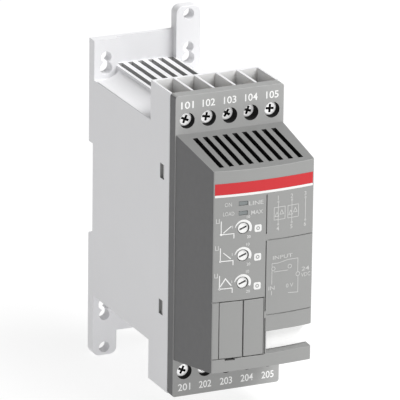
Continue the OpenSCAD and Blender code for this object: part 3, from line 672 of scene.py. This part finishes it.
class Sheet:
    """Flat print, drawn in millimetres across and up, that is laid on a face at the end."""

    def __init__(self):
        self.bm = bmesh.new()

    def polygon(self, points):
        self.bm.faces.new([self.bm.verts.new((x, 0, z)) for x, z in points])

    def bar(self, half, low, high):
        self.polygon([(-half, low), (half, low), (half, high), (-half, high)])

    def ring(self, x, z, outer, inner, start=0.0, end=360.0, steps=40):
        """Ring or arc. The inner radius may be a function of the share of the way."""
        places = []
        for i in range(steps + 1):
            share = i / steps
            turn = math.radians(start + (end - start) * share)
            places.append([(x + radius * math.cos(turn), z + radius * math.sin(turn))
                           for radius in (outer, inner(share) if callable(inner) else inner)])
        for a, b in zip(places, places[1:]):
            self.polygon([a[0], b[0], b[1], a[1]])

    def disc(self, x, z, radius, steps=24):
        turns = [2 * math.pi * i / steps for i in range(steps)]
        self.polygon([(x + radius * math.cos(turn), z + radius * math.sin(turn)) for turn in turns])

    def line(self, width, *points, at=(0, 0)):
        """Line with square ends through the points."""
        points = [(x + at[0], z + at[1]) for x, z in points]
        for (ax, az), (bx, bz) in zip(points, points[1:]):
            reach = math.hypot(bx - ax, bz - az)
            ux, uz = (bx - ax) / reach * width / 2, (bz - az) / reach * width / 2
            self.polygon([(ax - ux + uz, az - uz - ux), (bx + ux + uz, bz + uz - ux),
                          (bx + ux - uz, bz + uz + ux), (ax - ux - uz, az - uz + ux)])

    def rounded_square(self, x, z, size, radius, steps=5):
        half = size / 2 - radius
        points = []
        for corner, (sx, sz) in enumerate(((1, 1), (-1, 1), (-1, -1), (1, -1))):
            for i in range(steps + 1):
                turn = math.radians(90 * corner + 90 * i / steps)
                points.append((x + sx * half + radius * math.cos(turn),
                               z + sz * half + radius * math.sin(turn)))
        self.polygon(points)

    def words(self, text, x, z, height, width=None, bold=0.0):
        """Lettering with capitals of the given height, centred, and set to a width where one is given."""
        curve = bpy.data.curves.new("words", "FONT")
        curve.body = text
        curve.resolution_u = 4
        curve.offset = bold
        mesh = as_mesh(link("words", curve), "words")
        xs = [v.co.x for v in mesh.vertices]
        ys = [v.co.y for v in mesh.vertices]
        tall = height / (max(ys) - min(ys))
        wide = width / (max(xs) - min(xs)) if width else tall
        start = len(self.bm.verts)
        self.bm.from_mesh(mesh)
        self.bm.verts.ensure_lookup_table()
        for vert in self.bm.verts[start:]:
            u, v = vert.co.x, vert.co.y
            vert.co = (x + (u - (max(xs) + min(xs)) / 2) * wide, 0,
                       z + (v - (max(ys) + min(ys)) / 2) * tall)
        bpy.data.meshes.remove(mesh)

    def lay(self, name, ink_name, depth, step=2.0):
        """Lays the print on a face whose depth is a function of the place across, in metres."""
        xs = [v.co.x for v in self.bm.verts]
        for i in range(math.floor(min(xs) / step) + 1, math.ceil(max(xs) / step)):
            bmesh.ops.bisect_plane(self.bm, geom=self.bm.verts[:] + self.bm.edges[:] + self.bm.faces[:],
                                   plane_co=(i * step, 0, 0), plane_no=(1, 0, 0))
        for vert in self.bm.verts:
            across = vert.co.x * MM
            vert.co = (across, depth(across) - sizes().print_lift, vert.co.z * MM)
        self.bm.normal_update()
        turned = [face for face in self.bm.faces if face.normal.y > 0]
        bmesh.ops.reverse_faces(self.bm, faces=turned)
        mesh = bpy.data.meshes.new(name)
        self.bm.to_mesh(mesh)
        self.bm.free()
        mesh.materials.append(finish(ink_name))
        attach(link(name, mesh), "chassis")


# Geometry Nodes


def screw_tree(name):
    """Clamp screw on the depth axis: a chamfered head with a cross recess and a threaded shank."""
    t, take, out = new_group(name, {
        "Head Radius": 2.8 * MM, "Head Height": 3.2 * MM, "Chamfer": 0.5 * MM, "Core Radius": 1.36 * MM,
        "Thread Radius": 1.68 * MM, "Length": 16.6 * MM, "Pitch": 0.6 * MM, "Recess Width": 0.95 * MM,
        "Recess Reach": 1.65 * MM, "Recess Depth": 1.5 * MM, "Turn": 0.0, "Place": "Vector",
        "Material": "Material", "Recess Shade Material": "Material",
    }, {"Geometry": "Geometry"}, "GeometryNodeTree")
    head_r, head_h, core_r, pitch = (
        take[label] for label in ("Head Radius", "Head Height", "Core Radius", "Pitch"))

    def moved(mesh, height):
        return t.shape("Transform", {"Geometry": mesh, "Translation": t.vector(Z=height)})

    def half(value):
        return t.math("MULTIPLY", value, 0.5)

    def circle(radius, sides=48):
        return t.shape("CurvePrimitiveCircle", {"Resolution": sides, "Radius": radius})

    def flat(*curves):
        return t.shape("FillCurve", {"Curve": t.joined(*curves)})

    def turned_over(mesh):
        return t.shape("FlipFaces", {"Mesh": mesh})

    # Outline of the recess: three corners in each quarter of a twelve sided circle
    corner = t.shape("InputIndex")
    third = t.math("MODULO", corner, 3.0)
    arm = half(take["Recess Width"])
    across = t.math("MULTIPLY_ADD", t.math("LESS_THAN", third, 1.5),
                    t.math("SUBTRACT", take["Recess Reach"], arm), arm)
    along = t.math("MULTIPLY", arm, t.math("MULTIPLY_ADD", t.math("LESS_THAN", third, 0.5), -2.0, 1.0))
    quarter = t.math("MULTIPLY", t.math("FLOOR", t.math("DIVIDE", corner, 3.0)), math.pi / 2)
    spot = t.node("ShaderNodeVectorRotate", {"Vector": t.vector(X=across, Y=along), "Angle": quarter},
                  rotation_type="Z_AXIS").outputs["Vector"]
    cross = t.shape("SetPosition", {"Geometry": circle(1.0 * MM, 12), "Position": spot})

    # Head: front with the recess in it, chamfer, wall and back
    brim = t.math("SUBTRACT", head_r, take["Chamfer"])
    front = turned_over(flat(circle(brim), cross))
    inward = t.vector(Z=take["Recess Depth"])
    pit = t.shape("ExtrudeMesh", {"Mesh": turned_over(flat(cross)), "Offset": inward, "Offset Scale": 1.0,
                                  "Individual": False})
    marked = t.shape("StoreNamedAttribute", {"Geometry": pit, "Name": "recess", "Value": True},
                     data_type="BOOLEAN", domain="FACE")
    cone = t.shape("MeshCone", {"Vertices": 48, "Radius Top": head_r, "Radius Bottom": brim,
                                "Depth": take["Chamfer"]}, fill_type="NONE")
    wall_h = t.math("SUBTRACT", head_h, take["Chamfer"])
    wall = t.shape("MeshCylinder", {"Vertices": 48, "Radius": head_r, "Depth": wall_h}, fill_type="NONE")
    parts = t.joined(front, marked, cone, moved(wall, t.math("ADD", take["Chamfer"], half(wall_h))),
                     moved(flat(circle(head_r)), head_h))
    head = t.shape("MergeByDistance", {"Geometry": parts, "Distance": 0.002 * MM})

    # Shank and its thread
    shank_h = t.math("SUBTRACT", take["Length"], head_h)
    shank = t.shape("MeshCylinder", {"Vertices": 32, "Radius": core_r, "Depth": shank_h})
    coil_h = t.math("SUBTRACT", shank_h, t.math("MULTIPLY", pitch, 1.5))
    coil = t.shape("CurveSpiral", {"Resolution": 24, "Rotations": t.math("DIVIDE", coil_h, pitch),
                                   "Start Radius": core_r, "End Radius": core_r, "Height": coil_h})
    ridge = circle(t.math("SUBTRACT", take["Thread Radius"], core_r), 4)
    thread = t.shape("CurveToMesh", {"Curve": coil, "Profile Curve": ridge, "Fill Caps": True})
    whole = t.joined(head, moved(shank, t.math("ADD", head_h, half(shank_h))),
                     moved(thread, t.math("ADD", head_h, pitch)))
    turned = t.shape("Transform", {"Geometry": whole, "Rotation": t.vector(Z=take["Turn"])})
    laid = t.shape("Transform", {"Geometry": turned, "Translation": take["Place"],
                                 "Rotation": (-math.pi / 2, 0, 0)})
    dressed = t.shape("SetMaterial", {"Geometry": laid, "Material": take["Material"]})
    # The recess faces get painted shade
    is_recess = t.shape("InputNamedAttribute", {"Name": "recess"}, data_type="BOOLEAN")
    t.put(out["Geometry"], t.shape("SetMaterial", {
        "Geometry": dressed, "Material": take["Recess Shade Material"], "Selection": is_recess}))


def spring_tree(name):
    """Coil spring that stands on its lower end."""
    t, take, out = new_group(name, {
        "Coil Radius": 0.9 * MM, "Wire Radius": 0.2 * MM, "Turns": 7.0, "Height": 9.6 * MM, "Place": "Vector",
        "Material": "Material"}, {"Geometry": "Geometry"}, "GeometryNodeTree")
    coil = t.shape("CurveSpiral", {
        "Resolution": 28, "Rotations": take["Turns"], "Start Radius": take["Coil Radius"],
        "End Radius": take["Coil Radius"], "Height": take["Height"]})
    wire = t.shape("CurvePrimitiveCircle", {"Resolution": 10, "Radius": take["Wire Radius"]})
    made = t.shape("CurveToMesh", {"Curve": coil, "Profile Curve": wire, "Fill Caps": True})
    laid = t.shape("Transform", {"Geometry": made, "Translation": take["Place"]})
    t.put(out["Geometry"], t.shape("SetMaterial", {"Geometry": laid, "Material": take["Material"]}))


def grown(tree, name, values, sharpest):
    """Mesh that a tree makes from named values, smooth except at edges that bend more than an angle."""
    made = link(name, bpy.data.meshes.new(name))
    modifier = made.modifiers.new("Tree", "NODES")
    modifier.node_group = tree
    for item in tree.interface.items_tree:
        if item.in_out == "INPUT" and item.name in values:
            modifier[item.identifier] = values[item.name]
    mesh = as_mesh(made, name)
    mesh.shade_smooth()
    mesh.set_sharp_from_angle(angle=math.radians(sharpest))
    return mesh


# Operators


def finish_by_box(place, boxes):
    """Number of the finish of the first box, across, in depth and up, that holds a place, or 0."""
    spot = abs(place.x), -place.y, abs(place.z)
    return next((number for number, *box in boxes
                 if all(low < value < high for value, (low, high) in zip(spot, box))), 0)


class STARTER_OT_base(bpy.types.Operator):
    """Light moulded base with its tabs, roof slots and terminal cells, with painted shade in its snap
    windows, cells and inside
    """
    bl_idname = "starter.base"
    bl_label = "Base"

    # Boxes of painted shade: snap windows, terminal cells, the room and the loft below the roof, in
    # millimetres
    BOXES = (
        (3, (20.8, 22.45), (67.95, 71.85), (24.25, 30.35)),
        (1, (-1, 22.2), (59.2, 75.9), (45, 59.8)),
        (2, (-1, 21.3), (6, 76), (-1, 43.5)),
        (2, (-1, 12.2), (2.2, 57.4), (-1, 48.9)),
    )

    def execute(self, context):
        mesh = rounded_copy("base_housing", sizes().base_edge)
        for polygon in mesh.polygons:
            polygon.material_index = finish_by_box(polygon.center / MM, self.BOXES)
        stand_in("base_housing", mesh, "base_plastic",
                 "Base plastic", "Cell plastic", "Base inner plastic", "Window plastic")
        return {"FINISHED"}


class STARTER_OT_hood(bpy.types.Operator):
    """Grey hood whose sides have a deeper grain than its front and ends, with painted shade on sides, ends
    and inside and painted light on the terminal faces
    """
    bl_idname = "starter.hood"
    bl_label = "Hood"

    # Depth of the base, of the front's openings and of the tag pocket's back, in millimetres
    BASE_D, OPENING_D, POCKET_D = 76, 3.2, 104
    # Left side, floor and top of the tag pocket, and the outer end of the terminal blocks with its corners
    POCKET_X, POCKET_FLOOR, POCKET_TOP = 1, -34.5, -25.5
    BLOCK_END, CORNER_X, CORNER_Z = 60.3, 21.4, 59
    # How far below a face its rounded edges still count as part of it
    SKIN = 0.35
    # Least part of a normal along an axis for a face that looks that way, and for one square to it
    LOOKS, SQUARE = 0.8, 0.9

    def execute(self, context):
        mesh = rounded_copy("front_housing", sizes().hood_edge)
        for polygon in mesh.polygons:
            polygon.material_index = self.finish_at(polygon.center / MM, polygon.normal)
        stand_in("front_housing", mesh, "hood_plastic", "Hood plastic", "Hood side plastic",
                 "Hood end plastic", "Hood inner plastic", "Terminal face plastic")
        return {"FINISHED"}

    def finish_at(self, place, normal):
        """Number of the finish at a place: front, sides, ends, the inside or the terminal faces. Sides, ends
        and inside carry painted shade, the terminal faces and snap arms painted light.
        """
        x, d, z = abs(place.x), -place.y, abs(place.z)
        along = max(0.0, d - TERMINAL_D) / HOOD_D
        at_pocket = place.x > self.POCKET_X
        if d < self.BASE_D or (abs(d - TERMINAL_D) < self.SKIN and normal.y < -self.LOOKS):
            return 4
        if abs(normal.x) > self.LOOKS and x > HOOD_X - TAPER_X * along - self.SKIN:
            return 1
        on_end = d > TERMINAL_D and z > HOOD_Z - TAPER_Z * along - self.SKIN
        on_floor = at_pocket and abs(place.z - self.POCKET_FLOOR) < self.SKIN and normal.z > self.SQUARE
        faces_back = normal.y > self.LOOKS and z > HOOD_Z
        if on_floor or faces_back or (on_end and abs(normal.z) > self.SQUARE):
            return 2
        on_front = d > -front_y(place.x * MM) / MM - self.OPENING_D
        on_block = z > self.BLOCK_END - self.SKIN or (x > self.CORNER_X and z > self.CORNER_Z)
        in_pocket = at_pocket and self.POCKET_FLOOR - 0.1 < place.z < self.POCKET_TOP and d > self.POCKET_D
        if on_front or on_block or in_pocket:
            return 0
        return 2 if on_end else 3


class STARTER_OT_covers(bpy.types.Operator):
    """Two port covers and the writing tag"""
    bl_idname = "starter.covers"
    bl_label = "Covers and tag"

    def execute(self, context):
        for node in ("port_cover", "blank_cover"):
            small_piece(node, "hood_plastic", "Hood plastic")
        small_piece("function_tag", "tag_plastic", "Tag plastic")
        return {"FINISHED"}


class STARTER_OT_terminals(bpy.types.Operator):
    """Clamp screws, saddles and bars of both terminal rows"""
    bl_idname = "starter.terminals"
    bl_label = "Terminals"

    def execute(self, context):
        tree = group_of("Clamp Screw", screw_tree)
        for row in ROWS:
            for i in TERMINALS:
                node = "terminal_screw_%s_%d" % (row, i)
                low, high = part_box(node)
                middle = (low + high) / 2
                turn = 4 + 7 * (3 * i % 5)  # degrees, so that the recesses don't line up
                mesh = grown(tree, node + "_made", {
                    "Length": high.y - low.y, "Pitch": sizes().thread_pitch, "Recess Width": sizes().recess,
                    "Turn": math.radians(turn), "Place": (middle.x, low.y, middle.z),
                    "Material": finish("Plated steel"), "Recess Shade Material": finish("Recess steel")}, 32)
                stand_in(node, mesh, "screw_steel")
                for part in ("terminal_saddle", "terminal_bar"):
                    small_piece("%s_%s_%d" % (part, row, i), "clamp_brass", "Clamp metal")
        return {"FINISHED"}


class STARTER_OT_controls(bpy.types.Operator):
    """Setting dials and lamp windows"""
    bl_idname = "starter.controls"
    bl_label = "Dials and lamps"

    # Depths below the dial's face between which its slot gets painted shade, and the slot's reach from the
    # axis
    SLOT_FROM, SLOT_TO, SLOT_REACH = 0.15 * MM, 0.9 * MM, 1.7 * MM

    def execute(self, context):
        for i in DIALS:
            node = "dial_%d" % i
            mesh = rounded_copy(node, sizes().small_edge)
            low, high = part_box(node)
            middle = (low + high) / 2
            for polygon in mesh.polygons:
                place = polygon.center
                out_by = math.hypot(place.x - middle.x, place.z - middle.z)
                polygon.material_index = int(
                    self.SLOT_FROM < place.y - low.y < self.SLOT_TO and out_by < self.SLOT_REACH)
            stand_in(node, mesh, "dial_plastic", "Dial plastic", "Dial slot")
        for i in (1, 2):
            small_piece("light_pipe_%d" % i, "lens_plastic", "Lamp window")
        return {"FINISHED"}


class STARTER_OT_latch(bpy.types.Operator):
    """Sliding rail latch and its coil spring"""
    bl_idname = "starter.latch"
    bl_label = "Latch and spring"

    def execute(self, context):
        small_piece("rail_latch", "latch_plastic", "Latch plastic")
        low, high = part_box("latch_spring")
        middle = (low + high) / 2
        wire = sizes().spring_wire
        mesh = grown(group_of("Coil Spring", spring_tree), "latch_spring_made", {
            "Coil Radius": (high.x - low.x) / 2 - wire, "Wire Radius": wire,
            "Turns": float(sizes().spring_turns), "Height": high.z - low.z - 2 * wire,
            "Place": (middle.x, middle.y, low.z + wire), "Material": finish("Spring steel")}, 60)
        spring = stand_in("latch_spring", mesh, "spring_steel")
        travel = next(joint for joint in frame["joints"] if joint["name"] == "latch_slide")["range_m"]
        reach = max(abs(value) for value in travel)
        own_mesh(spring)
        return {"FINISHED"}


class STARTER_OT_electronics(bpy.types.Operator):
    """Boards, power parts and small parts behind the front"""
    bl_idname = "starter.electronics"
    bl_label = "Electronics"

    def execute(self, context):
        coat("Circuit board", "control_board", "power_board", "link_board")
        coat("Sink metal", "heat_sink")
        coat("Black plastic", "thyristor_pack_1", "thyristor_pack_2", "bypass_relay_1", "bypass_relay_2",
             "port_connector")
        coat("Transformer wrap", "supply_transformer")
        coat("Capacitor sleeve", "filter_capacitor")
        coat("Potentiometer plastic", "potentiometer_1", "potentiometer_2", "potentiometer_3")
        coat("Lamp body", "status_led_1", "status_led_2")
        coat("Board screw steel", "board_screws")
        return {"FINISHED"}


class STARTER_OT_print(bpy.types.Operator):
    """Band, dial scales, ramp graphs, wiring lines and plain numbers"""
    bl_idname = "starter.print"
    bl_label = "Print"

    # Places in millimetres across and up. Band and stripe: half width, then lower and upper edges
    HALF, BAND, STRIPE = 20.15, (30.6, 35.0), (29.6, 30.56)
    # Text, middle and width
    LAMP_WORDS = (("ON", -14.9, 26.6, 2.8), ("LOAD", -14.7, 23.0, 4.4), ("LINE", -3.75, 26.3, 5.8),
                  ("MAX", -3.4, 22.6, 4.8))
    # Text, middle, height and width
    FIELD_WORDS = (("INPUT", 7.6, 3.4, 1.5, 8.4), ("24", 17.6, -2.9, 1.6, 3.4), ("VDC", 17.8, -5.3, 1.6, 4.2),
                   ("IN", 3.1, -8.5, 1.6, 2.6), ("0 V", 10.8, -8.5, 1.6, 3.2))
    # White square right of each dial
    SQUARES = ((-2.88, 16.14), (-2.88, 4.76), (-2.88, -6.73))
    # Graph left of each dial: its corner, how much wider its curve is than a line, and the curve
    GRAPHS = (((-17.54, 15.07), 1.0, ((1.0, 0.65), (3.8, 2.9))),
              ((-17.74, 4.47), 1.0, ((1.3, 3.2), (3.9, 0.9))),
              ((-17.93, -6.44), 1.25, ((0.4, 1.1), (2.3, 3.9), (4.5, 1.1))))
    # Row of terminals, height of its numbers and the first one
    NUMBERS = (("top", 56.4, 101), ("bottom", -56.6, 201))

    def execute(self, context):
        band, face, words, marks, fields, labels = (Sheet() for _ in range(6))
        band.bar(self.HALF, *self.BAND)
        band.lay("band_print", "Band print", front_y)

        face.bar(self.HALF, *self.STRIPE)
        self.scales(face)
        self.graphs(face, sizes().line / MM)
        face.lay("white_print", "White print", front_y)

        for text, x, z, width in self.LAMP_WORDS:
            words.words(text, x, z, 1.6, width, 0.01)
        for place, _, _ in self.GRAPHS:
            words.line(0.32, (-1.9, 6.1), (-1.9, 4.6), (-0.8, 4.6), (-0.8, 6.1), at=place)
        words.lay("lamp_words", "Word print", front_y)

        for place in self.SQUARES:
            marks.ring(*place, 0.75, 0.38, steps=20)
        marks.lay("square_marks", "Grey print", lambda x: front_y(x) - 0.02 * MM)

        self.wiring(fields, sizes().fine_line / MM)
        fields.lay("field_print", "Pale print", front_y)

        for row, height, first in self.NUMBERS:
            for i in TERMINALS:
                low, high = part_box("terminal_screw_%s_%d" % (row, i))
                labels.words(str(first + i - 1), (low.x + high.x) / 2 / MM, height, 2.9, 5.2, 0.015)
        # The terminal numbers glow with painted light
        labels.lay("terminal_numbers", "Number print", lambda x: -TERMINAL_D * MM)
        return {"FINISHED"}

    def scales(self, face):
        """Arc that widens to the right, numbers and a square beside each dial."""
        outer, thin, wider = 3.4, 0.25, 0.75

        def inner(share):
            return outer - thin - wider * min(1.0, (1 - share) * 2.2) ** 0.8

        for i in DIALS:
            low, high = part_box("dial_%d" % i)
            x, z = (low.x + high.x) / 2 / MM, (low.z + high.z) / 2 / MM
            face.ring(x, z, outer, inner, -28, 170)
            for text, right, up in (("1", -4.3, 0.9), ("10", 1.9, 4.3), ("20", 2.2, -3.6)):
                face.words(text, x + right, z + up, 1.1)
            face.rounded_square(*self.SQUARES[i - 1], 2.9, 0.7)

    def graphs(self, face, wide):
        """Small ramp graph left of each dial."""
        for place, wider, curve in self.GRAPHS:
            face.line(wide, (0, -0.2), (0, 5.1), at=place)
            face.line(wide, (-0.3, 0), (5.0, 0), (5.0, -1.7), at=place)
            face.disc(*place, 0.5)
            face.line(wider * wide, *curve, at=place)

    def wiring(self, fields, wide):
        """Plain wiring lines of the two right fields."""
        columns = (5.35, 11.15, 17.05)
        for i, x in enumerate(columns, 1):
            fields.line(wide, (x, 25.0), (x, 16.9))
            for z in (25.4, 16.5):
                fields.ring(x, z, 0.45, 0.45 - wide, steps=16)
            for number, z in ((i, 27.0), (i + 3, 14.9)):
                fields.words(str(number), x - 0.1, z, 1.7, bold=0.02)
        for x in columns[:2]:
            fields.line(wide, (-1.7, 18.4), (2.9, 18.4), (2.9, 23.3), (-1.7, 23.3), (-1.7, 18.4), at=(x, 0))
            for place in ((x - 0.5, 19.7), (x + 1.5, 20.4)):
                fields.line(wide, (-0.8, 0), (0, 1.7), (0.8, 0), (-0.8, 0), at=place)
        for text, x, z, height, width in self.FIELD_WORDS:
            fields.words(text, x, z, height, width, 0.015)
        fields.line(wide, (3.15, -7.0), (3.15, 1.2), (5.7, 1.1), (9.9, 1.9), (14.2, 1.8), (14.2, -3.6))
        fields.line(wide, (4.1, -2.2), (9.8, -2.3))
        fields.line(wide, (14.35, -5.4), (14.4, -11.8), (10.3, -11.4))
        fields.line(wide, (3.1, -9.7), (3.1, -11.2))
        for x, z, radius, steps in ((3.7, -0.9, 0.9, 20), (10.7, -0.9, 0.9, 20), (14.25, -4.5, 0.95, 24)):
            fields.ring(x, z, radius, radius - wide, steps=steps)


class STARTER_OT_stage(bpy.types.Operator):
    """Pale floor, soft light and camera"""
    bl_idname = "starter.stage"
    bl_label = "Studio"

    # Floor: half size in metres and shade
    REACH, FLOOR_SHADE = 4.0, (0.25, 0.25, 0.25, 1)
    # Main light: where it stands as seen from the unit, how far off and how large in metres
    KEY_TOWARDS, KEY_DISTANCE, KEY_SIZE = Vector((0.3, -0.39, 0.63)), 2.4, 1.6
    # Point that the camera looks at
    AIM = Vector((-2.009, -60.0, 10.0)) * MM

    def execute(self, context):
        self.floor()
        self.sky()
        self.key()
        self.camera()
        context.scene.view_settings.view_transform = "Standard"
        return {"FINISHED"}

    def floor(self):
        reach, low = self.REACH, cad_box[0][2] - 0.02 * MM
        corners = [(-reach, -reach, low), (reach, -reach, low), (reach, reach, low), (-reach, reach, low)]
        mesh = bpy.data.meshes.new("floor")
        mesh.from_pydata(corners, [], [(0, 1, 2, 3)])
        t, shader, place = new_material("Floor")
        shader["Base Color"].default_value = self.FLOOR_SHADE
        shader["Specular IOR Level"].default_value = 0.0
        t.put(shader["Roughness"], t.math("MULTIPLY_ADD", t.noise(place, 1.5, 2.0), 0.1, 0.8))
        mesh.materials.append(bpy.data.materials["Floor"])
        link("floor", mesh)

    def sky(self):
        """Soft light from all around, which looks white to the camera, in mirrors and through windows."""
        world = bpy.data.worlds.new("Studio")
        bpy.context.scene.world = world
        world.use_nodes = True
        t = Tree(world.node_tree)
        soft = world.node_tree.nodes["Background"]
        soft.inputs["Color"].default_value = (1, 1, 1, 1)
        soft.inputs["Strength"].default_value = stage().sky
        white = t.node("ShaderNodeBackground", {"Color": (1, 1, 1, 1), "Strength": 1.0})
        rays = t.node("ShaderNodeLightPath").outputs
        seen = t.math("MAXIMUM", rays["Is Camera Ray"], rays["Is Glossy Ray"])
        seen = t.math("MAXIMUM", seen, rays["Is Transmission Ray"])
        mixed = t.node("ShaderNodeMixShader", {0: seen, 1: soft.outputs[0], 2: white.outputs[0]})
        t.put(world.node_tree.nodes["World Output"].inputs["Surface"], mixed.outputs[0])

    def key(self):
        light = bpy.data.lights.new("key", "AREA")
        light.shape = "SQUARE"
        light.size = self.KEY_SIZE
        light.energy = stage().key
        made = link("key", light)
        towards = self.KEY_TOWARDS.normalized()
        made.location = towards * self.KEY_DISTANCE
        made.rotation_euler = towards.to_track_quat("Z", "Y").to_euler()

    def camera(self):
        s = stage()
        az, el = s.azimuth, s.elevation
        back = Vector((math.sin(az) * math.cos(el), -math.cos(az) * math.cos(el), math.sin(el)))
        right = Vector((math.cos(az), math.sin(az), 0))
        up = back.cross(right)
        turned_right = right * math.cos(s.roll) + up * math.sin(s.roll)
        turned_up = up * math.cos(s.roll) - right * math.sin(s.roll)
        data = bpy.data.cameras.new("camera")
        data.sensor_width = 36.0
        data.lens = s.lens
        place = Matrix((turned_right, turned_up, back)).transposed().to_4x4()
        place.translation = self.AIM + back * s.distance
        made = link("camera", data)
        made.matrix_world = place
        bpy.context.scene.camera = made


OPERATORS = (STARTER_OT_base, STARTER_OT_hood, STARTER_OT_covers, STARTER_OT_terminals, STARTER_OT_controls,
             STARTER_OT_latch, STARTER_OT_electronics, STARTER_OT_print, STARTER_OT_stage)


class STARTER_PT_panel(bpy.types.Panel):
    """Operators of the soft starter"""
    bl_idname = "STARTER_PT_panel"
    bl_label = "Soft Starter"
    bl_space_type = "VIEW_3D"
    bl_region_type = "UI"
    bl_category = "Starter"

    def draw(self, context):
        for operator in OPERATORS:
            self.layout.operator(operator.bl_idname)


CLASSES = (StarterColours, StarterSizes, StarterStage) + OPERATORS + (STARTER_PT_panel,)


def register():
    for item in CLASSES:
        bpy.utils.register_class(item)
    bpy.types.Scene.starter_colours = PointerProperty(type=StarterColours)
    bpy.types.Scene.starter_sizes = PointerProperty(type=StarterSizes)
    bpy.types.Scene.starter_stage = PointerProperty(type=StarterStage)


def unregister():
    del bpy.types.Scene.starter_stage
    del bpy.types.Scene.starter_sizes
    del bpy.types.Scene.starter_colours
    for item in reversed(CLASSES):
        bpy.utils.unregister_class(item)


def main():
    register()
    for operator in OPERATORS:
        group, name = operator.bl_idname.split(".")
        getattr(getattr(bpy.ops, group), name)()


if __name__ == "__main__":
    main()
